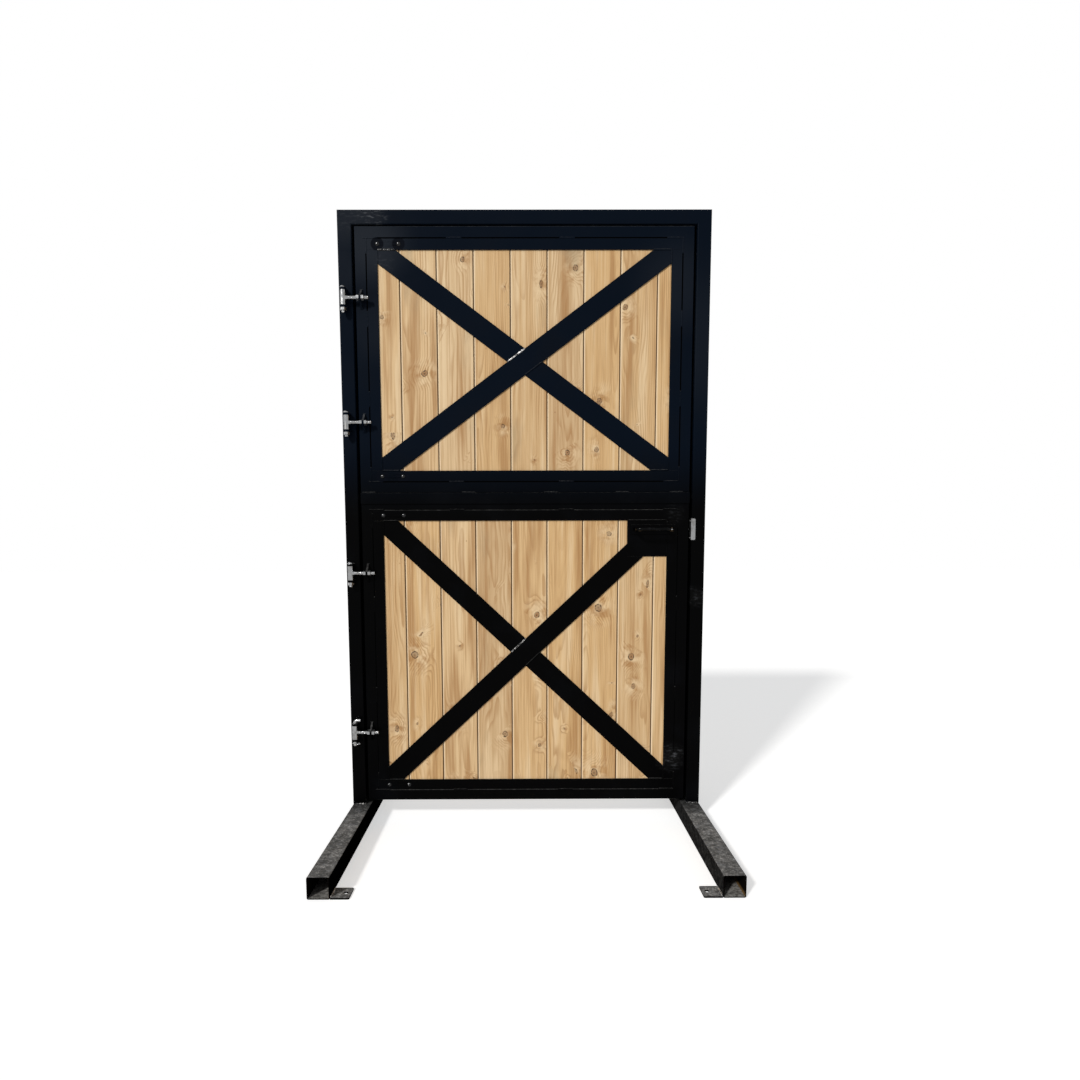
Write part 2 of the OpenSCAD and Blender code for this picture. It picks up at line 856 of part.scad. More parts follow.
lower_top_rail();
lower_bottom_rail();
lower_hinge_stile();
lower_latch_stile();
lower_channels();
lower_long_brace();
lower_short_braces();
lower_stile_tabs();
lower_hinge_eyes();
lower_rod_nuts();
lower_flange_bolts();
latch_plate();
latch_cover();
for (i = board_numbers) lower_board(i);

latch_bolt();
latch_handle();

upper_top_rail();
upper_bottom_rail();
upper_hinge_stile();
upper_latch_stile();
upper_channels();
upper_long_brace();
upper_short_braces();
upper_stile_tabs();
upper_hinge_eyes();
upper_rod_nuts();
upper_flange_bolts();
lap_strip();
for (i = board_numbers) upper_board(i);
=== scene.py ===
"""Dutch stall door in its welded frame: finishes, welds, threads, light and camera."""

import math

import bpy
from mathutils import Matrix, Vector, noise


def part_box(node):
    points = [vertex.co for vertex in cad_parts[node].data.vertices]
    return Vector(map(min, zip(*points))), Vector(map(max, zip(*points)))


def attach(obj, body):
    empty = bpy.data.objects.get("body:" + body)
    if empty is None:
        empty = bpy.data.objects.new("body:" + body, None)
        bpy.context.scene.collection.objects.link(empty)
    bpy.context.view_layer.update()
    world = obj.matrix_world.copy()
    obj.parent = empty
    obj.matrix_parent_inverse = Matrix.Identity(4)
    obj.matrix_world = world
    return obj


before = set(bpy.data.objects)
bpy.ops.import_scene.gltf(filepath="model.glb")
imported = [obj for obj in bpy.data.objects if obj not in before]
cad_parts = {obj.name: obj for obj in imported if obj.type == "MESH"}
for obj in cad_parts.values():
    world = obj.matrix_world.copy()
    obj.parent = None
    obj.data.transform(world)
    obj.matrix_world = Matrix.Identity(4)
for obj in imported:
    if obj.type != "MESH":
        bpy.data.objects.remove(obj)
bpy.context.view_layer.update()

# Jambs and head
# Square steel tube, mitred and ground smooth at the corners, brushed with a blue-black satin paint.
# The paint is scuffed and dusty at the top left corner, and plainer black towards the floor.


def add_node(tree, kind, inputs=None, **settings):
    """A shader node with its settings, and its inputs set or linked."""
    made = tree.nodes.new("ShaderNode" + kind)
    for name, value in settings.items():
        setattr(made, name, value)
    for name, value in (inputs or {}).items():
        if isinstance(value, bpy.types.NodeSocket):
            tree.links.new(value, made.inputs[name])
        else:
            made.inputs[name].default_value = value
    return made


def calc(tree, operation, *values):
    """One Math node."""
    return add_node(tree, "Math", dict(enumerate(values)), operation=operation).outputs[0]


def spread(tree, value, low, high, out_low=0.0, out_high=1.0):
    """A value brought smoothly from one range to another."""
    inputs = {"Value": value, "From Min": low, "From Max": high, "To Min": out_low, "To Max": out_high}
    return add_node(tree, "MapRange", inputs, interpolation_type="SMOOTHSTEP").outputs[0]


def mix_colours(tree, share, first, second, blend_type="MIX"):
    """Two colours mixed by a share."""
    inputs = {0: share, 6: first, 7: second}
    return add_node(tree, "Mix", inputs, data_type="RGBA", blend_type=blend_type).outputs[2]


def stretch(tree, position, scale):
    """Coordinates times a scale for each axis."""
    return add_node(tree, "VectorMath", {0: position, 1: scale}, operation="MULTIPLY").outputs[0]


def cloud(tree, position, scale, detail=3.0, roughness=0.55):
    """Noise from 0 to 1 over the coordinates."""
    inputs = {"Vector": position, "Scale": scale, "Detail": detail, "Roughness": roughness}
    return add_node(tree, "TexNoise", inputs).outputs["Fac"]


def split(tree, position):
    """The X, Y and Z of coordinates."""
    return add_node(tree, "SeparateXYZ", {0: position}).outputs


def new_group(name, inputs, outputs):
    """An empty node group with named sockets: its tree, what comes in and what goes out."""
    group = bpy.data.node_groups.new(name, "ShaderNodeTree")
    for socket, kind in inputs.items():
        group.interface.new_socket(socket, in_out="INPUT", socket_type="NodeSocket" + kind)
    for socket, kind in outputs.items():
        group.interface.new_socket(socket, in_out="OUTPUT", socket_type="NodeSocket" + kind)
    return group, group.nodes.new("NodeGroupInput").outputs, group.nodes.new("NodeGroupOutput").inputs


def satin_paint_group():
    """Brushed satin paint: blue-black above, plain black below, with dust, scuffs and light specks."""
    blue_black = (0.0022, 0.0048, 0.0102, 1)
    patch_black = (0.0040, 0.0046, 0.0062, 1)
    dust_grey = (0.43, 0.426, 0.417, 1)
    speck_grey = (0.20, 0.21, 0.23, 1)
    tree, given, out = new_group(
        "satin_paint",
        {"Position": "Vector", "Dust": "Float", "Scuffs": "Float", "Specks": "Float"},
        {"Colour": "Color", "Roughness": "Float", "Height": "Float"},
    )
    position = given["Position"]
    height = split(tree, position)[2]
    paint = mix_colours(tree, spread(tree, height, 1.15, 1.45), plain_black, blue_black)
    patches = cloud(tree, position, 5.0, 5.0)
    paint = mix_colours(tree, spread(tree, patches, 0.5, 0.75, 0.0, 0.3), paint, patch_black)
    grit = spread(tree, cloud(tree, position, 150.0, 5.0, 0.7), 0.42, 0.64)
    film = spread(tree, cloud(tree, position, 40.0, 5.0, 0.6), 0.36, 0.66, 0.45, 1.0)
    dust = calc(tree, "MULTIPLY", calc(tree, "MULTIPLY", grit, film), given["Dust"])
    film_only = calc(tree, "MULTIPLY", calc(tree, "MULTIPLY", film, given["Dust"]), 0.42)
    dust = calc(tree, "MAXIMUM", dust, film_only)
    drag = cloud(tree, stretch(tree, position, (5.0, 5.0, 17.0)), 8.0, 2.0, 0.5)
    scuff = calc(tree, "MULTIPLY", spread(tree, drag, 0.50, 0.74), given["Scuffs"])
    cell = add_node(tree, "TexVoronoi", {"Vector": position, "Scale": 62.0})
    size = add_node(tree, "SeparateColor", {0: cell.outputs["Color"]}).outputs
    near = calc(tree, "LESS_THAN", cell.outputs["Distance"], calc(tree, "MULTIPLY", size[0], 0.11))
    kept = calc(tree, "GREATER_THAN", size[1], 0.72)
    speck = calc(tree, "MULTIPLY", calc(tree, "MULTIPLY", near, kept), given["Specks"])
    colour = mix_colours(tree, dust, paint, dust_grey)
    colour = mix_colours(tree, calc(tree, "MAXIMUM", scuff, speck), colour, speck_grey)
    tree.links.new(colour, out["Colour"])
    matt = calc(tree, "MULTIPLY_ADD", dust, 0.35, spread(tree, patches, 0.3, 0.7, 0.28, 0.44))
    tree.links.new(matt, out["Roughness"])
    brushed = cloud(tree, position, 420.0, 2.0)
    tree.links.new(calc(tree, "MULTIPLY_ADD", dust, 0.6, brushed), out["Height"])
    return tree


def scuffed_spots(tree, position, spots):
    """A mask that is strongest amid each spot of (x, y, z, radius, strength) and fades to its rim."""
    mask = 0.0
    for x, y, z, radius, strength in spots:
        reach = add_node(tree, "VectorMath", {0: position, 1: (x, y, z)}, operation="DISTANCE")
        spot = spread(tree, reach.outputs["Value"], radius * 0.15, radius, strength, 0.0)
        mask = calc(tree, "MAXIMUM", mask, spot)
    return mask


def new_material(name):
    """A material with its tree, its Principled BSDF and the coordinates that stay with the piece."""
    made = bpy.data.materials.new(name)
    made.use_nodes = True
    tree = made.node_tree
    return made, tree, tree.nodes["Principled BSDF"], add_node(tree, "TexCoord").outputs["Object"]


def raise_surface(tree, shader, height, depth, strength=0.5):
    """Bump on the shader from a height, with its depth in metres."""
    bump = add_node(tree, "Bump", {"Height": height, "Distance": depth, "Strength": strength})
    tree.links.new(bump.outputs["Normal"], shader.inputs["Normal"])


plain_black = (0.0006, 0.0006, 0.0007, 1)
painted_groove_shade = (0.0002, 0.0002, 0.0002, 1)
fresh_black = (0.0020, 0.0030, 0.0060, 1)
bloom_grey = (0.017, 0.021, 0.028, 1)
paint_shine = 0.022
satin_paint = satin_paint_group()


def seam_shade(tree, position, seams):
    """A mask of painted shade in the grooves along the outlines of upright rectangles of (half width,
    bottom, top) about x = 0.
    """
    groove, groove_rim = 0.0016, 0.0030
    x, _, z = split(tree, position)
    mask = 0.0
    for half_width, bottom, top in seams:
        aside = calc(tree, "SUBTRACT", calc(tree, "ABSOLUTE", x), half_width)
        from_middle = calc(tree, "ABSOLUTE", calc(tree, "SUBTRACT", z, (bottom + top) / 2))
        above = calc(tree, "SUBTRACT", from_middle, (top - bottom) / 2)
        outline = calc(tree, "ABSOLUTE", calc(tree, "MAXIMUM", aside, above))
        mask = calc(tree, "MAXIMUM", mask, spread(tree, outline, groove, groove_rim, 1.0, 0.0))
    return mask


def painted(name, spots, bloomed, touched_up, top_dust_and_highlight_share, seams=()):
    """Satin paint with dust on what faces up, partly a painted highlight, its scuffs, bloom and touched-up
    spots, and painted shade in its seam grooves.
    """
    made, tree, shader, position = new_material(name)
    up = split(tree, add_node(tree, "NewGeometry").outputs["Normal"])[2]
    # Dust on what faces up, which also stands for the highlight where sunlit top edges catch the light:
    # partly painted highlight.
    top_dust_and_highlight = spread(tree, up, 0.30, 0.85, 0.0, top_dust_and_highlight_share)
    worn = scuffed_spots(tree, position, spots)
    paint = add_node(tree, "Group", node_tree=satin_paint)
    tree.links.new(position, paint.inputs["Position"])
    tree.links.new(calc(tree, "MAXIMUM", top_dust_and_highlight, calc(tree, "MULTIPLY", worn, 0.10)), paint.inputs["Dust"])
    tree.links.new(worn, paint.inputs["Scuffs"])
    paint.inputs["Specks"].default_value = 0.35
    bloom = scuffed_spots(tree, position, bloomed)
    colour = mix_colours(tree, bloom, paint.outputs["Colour"], bloom_grey)
    fresh = scuffed_spots(tree, position, touched_up)
    colour = mix_colours(tree, spread(tree, fresh, 0.25, 0.45), colour, fresh_black)
    # Painted shade in the seam grooves between tube and channel.
    shade = seam_shade(tree, position, seams)
    colour = mix_colours(tree, shade, colour, painted_groove_shade)
    matt = calc(tree, "MAXIMUM", paint.outputs["Roughness"], shade)
    tree.links.new(colour, shader.inputs["Base Color"])
    tree.links.new(matt, shader.inputs["Roughness"])
    shader.inputs["Specular IOR Level"].default_value = paint_shine
    raise_surface(tree, shader, paint.outputs["Height"], 0.0002, 0.35)
    return made


def dress(names, material, edge=0.0):
    """Gives nodes their finish, and rounds their sharp edges where edge is a radius in metres."""
    for name in names:
        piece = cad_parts[name]
        piece.data.materials.clear()
        piece.data.materials.append(material)
        if edge:
            weld = piece.modifiers.new("join_corners", "WELD")
            weld.merge_threshold = 0.00001
            rounded = piece.modifiers.new("round_edges", "BEVEL")
            rounded.width = edge
            rounded.segments = 2
            rounded.limit_method = "ANGLE"
            rounded.angle_limit = math.radians(40)
            piece.modifiers.new("even_shading", "WEIGHTED_NORMAL").keep_sharp = True


head_low, head_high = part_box("head")
face = head_low.y
jamb_low, jamb_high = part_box("hinge_jamb")
frame_scuffs = (
    (head_low.x + 0.11, face, head_high.z - 0.016, 0.09, 0.45),
    (head_low.x + 0.02, face, head_high.z - 0.03, 0.07, 0.15),
    (head_high.x - 0.03, face, 0.86, 0.05, 0.15),
)
frame_bloom = (
    (head_low.x + 0.03, face, head_high.z - 0.03, 0.16, 0.5),
    (head_low.x + 0.025, face, head_high.z - 0.20, 0.12, 0.3),
    (head_high.x - 0.025, face, head_high.z - 0.45, 0.35, 0.3),
)
frame_paint = painted("frame_paint", frame_scuffs, frame_bloom, (), 0.34)
dress(("hinge_jamb", "latch_jamb", "head"), frame_paint)

# Feet and anchor tabs
# Thicker square tube, open at both ends, under the jambs. The tops are grey with trodden dust, and the
# sides that face the key light get a little dust as painted light. The cut ends are black. The insides are
# painted near black as painted shade, dusty below, with rust low on the wall that the key light reaches,
# placed as painted light.
# Tabs are welded on for the floor bolts.


def foot_finish():
    """Black paint under trodden dust. The inside is near black as painted shade, dusty below, with rust low
    on the wall facing the key light.
    """
    made, tree, shader, position = new_material("foot_paint")
    inside_shade_black = (0.006, 0.005, 0.004, 1)
    rust = (0.38, 0.23, 0.09, 1)
    dark_dust = (0.10, 0.097, 0.090, 1)
    pale_dust = (0.36, 0.35, 0.33, 1)
    inner_skin = 0.003
    low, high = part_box("left_foot")
    half = (high.x - low.x) / 2
    middle_x = -(low.x + high.x) / 2
    wall_reach = half - inner_skin
    x, y, z = split(tree, position)
    across = calc(tree, "ABSOLUTE", calc(tree, "SUBTRACT", calc(tree, "ABSOLUTE", x), middle_x))
    upright = calc(tree, "ABSOLUTE", calc(tree, "SUBTRACT", z, half))
    inside = calc(tree, "LESS_THAN", calc(tree, "MAXIMUM", across, upright), wall_reach)
    facing = split(tree, add_node(tree, "NewGeometry").outputs["Normal"])
    from_jamb = spread(tree, calc(tree, "ABSOLUTE", y), 0.03, 0.17, 0.3, 1.0)
    top = calc(tree, "MULTIPLY", spread(tree, facing[2], 0.5, 0.92), from_jamb)
    # Painted light: the sides that face the key light get a little grey dust, which stands for the light on
    # them.
    sunlit_side_dust = spread(tree, facing[0], -0.6, -0.95, 0.0, 0.12)
    paint = add_node(tree, "Group", node_tree=satin_paint)
    tree.links.new(position, paint.inputs["Position"])
    tree.links.new(calc(tree, "MAXIMUM", top, sunlit_side_dust), paint.inputs["Dust"])
    tree.links.new(calc(tree, "MULTIPLY", top, 0.35), paint.inputs["Scuffs"])
    paint.inputs["Specks"].default_value = 0.8
    grit = spread(tree, cloud(tree, position, 120.0, 6.0, 0.7), 0.38, 0.66)
    floor_dust = mix_colours(tree, grit, dark_dust, pale_dust)
    # Painted shade: the inside is near black for the shade inside the tube, with floor dust where it faces
    # up.
    inside_shade_dust_rust = mix_colours(tree, spread(tree, facing[2], 0.4, 0.9), inside_shade_black, floor_dust)
    # Rust low on the wall that faces the key light: real rust, placed where the light falls, so partly
    # painted light.
    near_floor = spread(tree, z, 0.006, 0.020, 0.7, 0.0)
    sunlit_low_wall = calc(tree, "MULTIPLY", spread(tree, facing[0], -0.15, -0.7), near_floor)
    rust_on_sunlit_wall = calc(tree, "MULTIPLY", sunlit_low_wall, spread(tree, grit, 0.0, 1.0, 0.5, 1.0))
    inside_shade_dust_rust = mix_colours(tree, rust_on_sunlit_wall, inside_shade_dust_rust, rust)
    colour = mix_colours(tree, inside, paint.outputs["Colour"], inside_shade_dust_rust)
    tree.links.new(colour, shader.inputs["Base Color"])
    matt = calc(tree, "MAXIMUM", paint.outputs["Roughness"], calc(tree, "MULTIPLY", inside, 0.9))
    tree.links.new(matt, shader.inputs["Roughness"])
    shader.inputs["Specular IOR Level"].default_value = 0.0
    raise_surface(tree, shader, paint.outputs["Height"], 0.0003)
    return made


def bright_weld_finish(name, metal, black_left):
    """Bright weld metal as a painted highlight on welds that catch the sun, with more black paint left in
    its hollows the lower black_left is.
    """
    paint_black = (0.012, 0.0125, 0.014, 1)
    made, tree, shader, position = new_material(name)
    left = spread(tree, cloud(tree, position, 210.0, 4.0, 0.6), black_left, black_left + 0.18)
    colour = mix_colours(tree, left, metal, paint_black)
    tree.links.new(colour, shader.inputs["Base Color"])
    tree.links.new(spread(tree, left, 0.0, 1.0, 0.35, 0.6), shader.inputs["Roughness"])
    tree.links.new(spread(tree, left, 0.0, 1.0, 0.75, 0.0), shader.inputs["Metallic"])
    shader.inputs["Specular IOR Level"].default_value = 0.1
    raise_surface(tree, shader, cloud(tree, position, 600.0, 3.0), 0.0003)
    return made


# Painted highlight: bright weld metal stands for the glint of welds that catch the sun. Welds in shade stay
# painted black.
bright_weld_highlight = bright_weld_finish("bright_weld_highlight", (0.62, 0.61, 0.60, 1), 0.42)
dull_weld_highlight = bright_weld_finish("dull_weld_highlight", (0.42, 0.41, 0.40, 1), 0.36)
dim_weld_highlight = bright_weld_finish("dim_weld_highlight", (0.16, 0.16, 0.16, 1), 0.36)

cut_edge = 0.0006
plate_edge = 0.0008
foot_paint = foot_finish()
dress(("left_foot", "right_foot"), foot_paint, cut_edge)
dress(("anchor_tabs",), foot_paint, plate_edge)
off_axis = Vector((0.31, 0.83, 0.47))


def bead_station(point, along, radius, sides):
    """A ring of points around a weld bead."""
    first = along.cross(off_axis).normalized()
    second = along.cross(first)
    turns = (2 * math.pi * k / sides for k in range(sides))
    return [point + (first * math.cos(t) + second * math.sin(t)) * radius for t in turns]


def weld_beads(name, body, material, runs, radius):
    """Weld beads along straight runs: rippled where the puddle froze, and rounded off at both ends."""
    sides, step, ripple = 10, 0.0013, 0.0042
    blunt_end, ripple_swell, uneven_swell, uneven_scale = 0.0004, 0.13, 0.18, 160
    points, faces = [], []
    for start, end in runs:
        start, end = Vector(start), Vector(end)
        length = (end - start).length
        along = (end - start).normalized()
        stations = max(4, round(length / step))
        first_ring = len(points)
        for i in range(stations + 1):
            travel = length * i / stations
            from_end = min(1.0, (min(travel, length - travel) + blunt_end) / radius)
            taper = math.sqrt(1 - (1 - from_end) ** 2)
            puddle = 1 + ripple_swell * abs(math.cos(math.pi * travel / ripple))
            uneven = 1 + uneven_swell * noise.noise((start + along * travel) * uneven_scale)
            points += bead_station(start + along * travel, along, radius * taper * puddle * uneven, sides)
        for i in range(stations):
            base = first_ring + i * sides
            for k in range(sides):
                right = (k + 1) % sides
                faces.append((base + k, base + right, base + sides + right, base + sides + k))
        faces.append(tuple(range(first_ring + sides - 1, first_ring - 1, -1)))
        faces.append(tuple(range(len(points) - sides, len(points))))
    mesh = bpy.data.meshes.new(name)
    mesh.from_pydata(points, [], faces)
    mesh.shade_smooth()
    mesh.materials.append(material)
    bead = bpy.data.objects.new(name, mesh)
    bpy.context.scene.collection.objects.link(bead)
    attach(bead, body)
    return bead


foot_low, foot_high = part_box("left_foot")
tab_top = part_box("anchor_tabs")[1].z
tab_length = 0.064
bead_inset = 0.004
tab_bead = 0.0035
tab_runs = []
for side in (-1, 1):
    foot_side = side * -foot_high.x
    for tab_start in (foot_low.y, foot_high.y - tab_length):
        near, far = tab_start + bead_inset, tab_start + tab_length - bead_inset
        tab_runs.append(((foot_side, near, tab_top), (foot_side, far, tab_top)))
weld_beads("tab_welds", "frame", bright_weld_highlight, tab_runs, tab_bead)

corner_round = 0.006
jamb_bead = 0.0032
front_runs, jamb_runs = [], []
for side in (-1, 1):
    inner = side * -jamb_high.x
    outer = side * -(jamb_low.x + corner_round)
    front_runs.append(((outer, jamb_low.y, jamb_low.z), (inner, jamb_low.y, jamb_low.z)))
    jamb_runs.append(((outer, jamb_high.y, jamb_low.z), (inner, jamb_high.y, jamb_low.z)))
    jamb_runs.append(((inner, jamb_low.y, jamb_low.z), (inner, jamb_high.y, jamb_low.z)))
# The front welds at the jamb feet face the key light and get dull bright metal as a painted highlight.
weld_beads("jamb_front_welds", "frame", dull_weld_highlight, front_runs, jamb_bead)
weld_beads("jamb_welds", "frame", foot_paint, jamb_runs, jamb_bead)

# Door stops
# Flat bars welded to the back of the jambs and the head, which the closed leaves rest against.
dress(("door_stops",), frame_paint, cut_edge)

# Leaf tubes and channels
# Each leaf is a mitred ring of square tube, with a ring of folded channels stitch-welded inside it.
# Both are painted black and lightly rubbed. The upper leaf has painted shade in its seam grooves, and fresh
# paint at its bolts.

upper_low, upper_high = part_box("upper_top_rail")
tube = upper_high.z - upper_low.z
upper_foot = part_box("upper_bottom_rail")[0].z
lower_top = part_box("lower_top_rail")[1].z
lower_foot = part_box("lower_bottom_rail")[0].z
leaf_half = upper_high.x
channel_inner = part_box("upper_long_brace")[1].x
leaf_scuffs = (
    (-channel_inner + 0.02, face, upper_high.z - 0.125, 0.05, 0.3),
    (leaf_half - 0.055, face, 0.25, 0.07, 0.3),
    (leaf_half - 0.050, face, lower_top - 0.055, 0.05, 0.06),
)
leaf_bloom = (
    (-leaf_half + 0.05, face, upper_high.z - 0.06, 0.19, 0.85),
    (-leaf_half + 0.05, face, upper_high.z - 0.35, 0.16, 0.25),
    (leaf_half - 0.05, face, upper_high.z - 0.20, 0.22, 0.35),
)
flange_low, flange_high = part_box("upper_flange_bolts")
bolt_head_radius = 0.008
touch_up_radius = 0.034
leaf_touch_ups = [
    (x, face, z, touch_up_radius, 1.0)
    for x in (flange_low.x + bolt_head_radius, flange_high.x - bolt_head_radius)
    for z in (flange_low.z + bolt_head_radius, flange_high.z - bolt_head_radius)
]
# Painted shade in the grooves between the upper leaf's tubes and channels.
leaf_shaded_grooves = ((leaf_half - tube, upper_foot + tube, upper_high.z - tube),)
leaf_paint = painted("leaf_paint", leaf_scuffs, leaf_bloom, leaf_touch_ups, 0.28, leaf_shaded_grooves)
stitch_paint = painted("stitch_paint", leaf_scuffs, leaf_bloom, leaf_touch_ups, 0.28)
tube_parts = ("top_rail", "bottom_rail", "hinge_stile", "latch_stile")
for leaf in ("upper", "lower"):
    dress([f"{leaf}_{part}" for part in tube_parts], leaf_paint)
    dress([f"{leaf}_channels"], leaf_paint, cut_edge)


def stitch_runs(top, bottom, middles, length):
    """Stitch welds in the seam between tube and channel, along the rails and stiles of one leaf."""
    seam_depth = 0.0026
    stile_shares = (0.07, 0.36, 0.66, 0.93)
    depth = face + seam_depth
    runs = []
    for seam in (top - tube, bottom + tube):
        for middle in middles:
            runs.append(((middle - length / 2, depth, seam), (middle + length / 2, depth, seam)))
    for side in (-1, 1):
        seam = side * (leaf_half - tube)
        for share in stile_shares:
            height = bottom + (top - bottom) * share
            runs.append(((seam, depth, height - length / 2), (seam, depth, height + length / 2)))
    return runs


stitch_middles = (-0.545, -0.250, 0.150, 0.531)
stitch_length = 0.056
stitch_bead = 0.0036
for leaf, top, bottom in (("upper", upper_high.z, upper_foot), ("lower", lower_top, lower_foot)):
    runs = stitch_runs(top, bottom, stitch_middles, stitch_length)
    weld_beads(f"{leaf}_stitch_welds", f"{leaf}_leaf", stitch_paint, runs, stitch_bead)

# Boards
# Tongue and groove softwood, oiled, upright in the channels. Each board is another piece of the tree:
# its growth rings, knots, stains and tint are its own, and the grain bends round the knots.


def pine_group():
    """Planed knotty pine from the position alone: which board it is, then its rings, knots and stains."""
    board_width = 0.131
    first_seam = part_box("upper_board_2")[0].x
    leaf_split = (upper_foot + lower_top) / 2
    knot_cells = (7.3, 0.0, 5.2)
    early_wood = (0.690, 0.452, 0.218, 1)
    late_wood = (0.400, 0.205, 0.075, 1)
    pale_wood = (0.810, 0.610, 0.370, 1)
    grey_wood = (0.600, 0.412, 0.228, 1)
    stain = (0.300, 0.230, 0.140, 1)
    knot_brown = (0.350, 0.185, 0.078, 1)
    knot_grey = (0.250, 0.160, 0.090, 1)
    knot_rim = (0.045, 0.020, 0.008, 1)
    seam_shade_brown = (0.090, 0.046, 0.019, 1)
    lit_edge = (0.930, 0.740, 0.500, 1)
    tree, given, out = new_group(
        "knotty_pine", {"Position": "Vector"}, {"Colour": "Color", "Roughness": "Float", "Height": "Float"}
    )
    x, _, z = split(tree, given["Position"])
    board_at = calc(tree, "DIVIDE", calc(tree, "SUBTRACT", x, first_seam), board_width)
    board = calc(tree, "FLOOR", board_at)
    on_board = calc(tree, "FRACT", board_at)
    leaf = calc(tree, "GREATER_THAN", z, leaf_split)
    seed = calc(tree, "MULTIPLY_ADD", leaf, 31.0, calc(tree, "ADD", board, 7.0))
    draw = add_node(tree, "TexWhiteNoise", {"W": seed}, noise_dimensions="1D").outputs["Color"]
    luck = add_node(tree, "SeparateColor", {0: draw}).outputs
    shift = add_node(tree, "VectorMath", {0: draw, 1: (3.0, 2.0, 9.0)}, operation="MULTIPLY").outputs[0]
    place = add_node(tree, "VectorMath", {0: given["Position"], 1: shift}, operation="ADD").outputs[0]

    # Knots: one may lie in each cell, with a wavering outline, and its distance is measured in metres
    sway = add_node(tree, "TexNoise", {"Vector": place, "Scale": 75.0, "Detail": 2.0}).outputs["Color"]
    swayed = add_node(
        tree, "VectorMath", {0: sway, 1: (0.007, 0.0, 0.010), 2: place}, operation="MULTIPLY_ADD"
    ).outputs[0]
    cells = stretch(tree, swayed, knot_cells)
    knot = add_node(tree, "TexVoronoi", {"Vector": cells, "Scale": 1.0, "Randomness": 0.95})
    offset = add_node(tree, "VectorMath", {0: cells, 1: knot.outputs["Position"]}, operation="SUBTRACT")
    away_x, _, away_z = split(tree, offset.outputs[0])
    lot = add_node(tree, "SeparateColor", {0: knot.outputs["Color"]}).outputs
    away_x = calc(tree, "DIVIDE", away_x, knot_cells[0])
    away_z = calc(tree, "DIVIDE", away_z, knot_cells[2] * 1.2)
    lean = calc(tree, "MULTIPLY", lot[2], math.pi)
    upright, level = calc(tree, "COSINE", lean), calc(tree, "SINE", lean)
    long_way = calc(tree, "MULTIPLY_ADD", away_x, upright, calc(tree, "MULTIPLY", away_z, level))
    short_way = calc(
        tree, "SUBTRACT", calc(tree, "MULTIPLY", away_z, upright), calc(tree, "MULTIPLY", away_x, level)
    )
    short_way = calc(tree, "MULTIPLY", short_way, spread(tree, lot[0], 0.68, 1.0, 1.0, 3.4))
    squares = calc(tree, "ADD", calc(tree, "POWER", long_way, 2.0), calc(tree, "POWER", short_way, 2.0))
    reach = calc(tree, "SQRT", squares)
    clear_share = calc(tree, "MULTIPLY_ADD", leaf, 0.16, 0.34)
    real = calc(tree, "GREATER_THAN", lot[0], clear_share)
    radius = spread(tree, lot[1], 0.15, 1.0, 0.0030, 0.0130)
    share = calc(tree, "DIVIDE", reach, radius)
    core = calc(tree, "MULTIPLY", spread(tree, share, 0.60, 1.10, 1.0, 0.0), real)
    heart = calc(tree, "MULTIPLY", spread(tree, share, 0.10, 0.38, 1.0, 0.0), real)
    rim = spread(tree, calc(tree, "ABSOLUTE", calc(tree, "SUBTRACT", share, 0.95)), 0.04, 0.26, 1.0, 0.0)
    broken = spread(tree, cloud(tree, place, 150.0, 2.0), 0.40, 0.58, 0.35, 1.0)
    rim = calc(tree, "MULTIPLY", calc(tree, "MULTIPLY", rim, real), broken)
    halo = calc(tree, "MULTIPLY", spread(tree, share, 0.8, 7.0, 1.0, 0.0), real)

    # Growth rings: the board cuts a slightly tilted cone of rings, pushed aside by the knots
    across = calc(tree, "MULTIPLY", calc(tree, "SUBTRACT", on_board, luck[0]), board_width)
    slow = cloud(tree, stretch(tree, place, (9.0, 4.0, 1.6)), 1.0, 3.0, 0.5)
    tilt = calc(tree, "MULTIPLY", calc(tree, "SUBTRACT", luck[1], 0.5), 0.05)
    depth = calc(tree, "MULTIPLY_ADD", z, tilt, calc(tree, "MULTIPLY_ADD", slow, 0.075, 0.012))
    depth = calc(tree, "MULTIPLY_ADD", halo, calc(tree, "MULTIPLY", radius, 3.0), depth)
    squares = calc(tree, "ADD", calc(tree, "POWER", across, 2.0), calc(tree, "POWER", depth, 2.0))
    ring = calc(tree, "SQRT", squares)
    ring_width = spread(tree, luck[2], 0.0, 1.0, 0.0055, 0.0095)
    growth = calc(tree, "FRACT", calc(tree, "DIVIDE", ring, ring_width))
    late = calc(tree, "MULTIPLY", spread(tree, growth, 0.35, 0.9), spread(tree, growth, 0.9, 1.0, 1.0, 0.0))
    fibre = cloud(tree, stretch(tree, place, (1100.0, 300.0, 16.0)), 1.0, 4.0, 0.6)
    streak = cloud(tree, stretch(tree, place, (150.0, 40.0, 1.8)), 1.0, 4.0, 0.65)
    broad = cloud(tree, stretch(tree, place, (24.0, 8.0, 1.6)), 1.0, 3.0, 0.55)

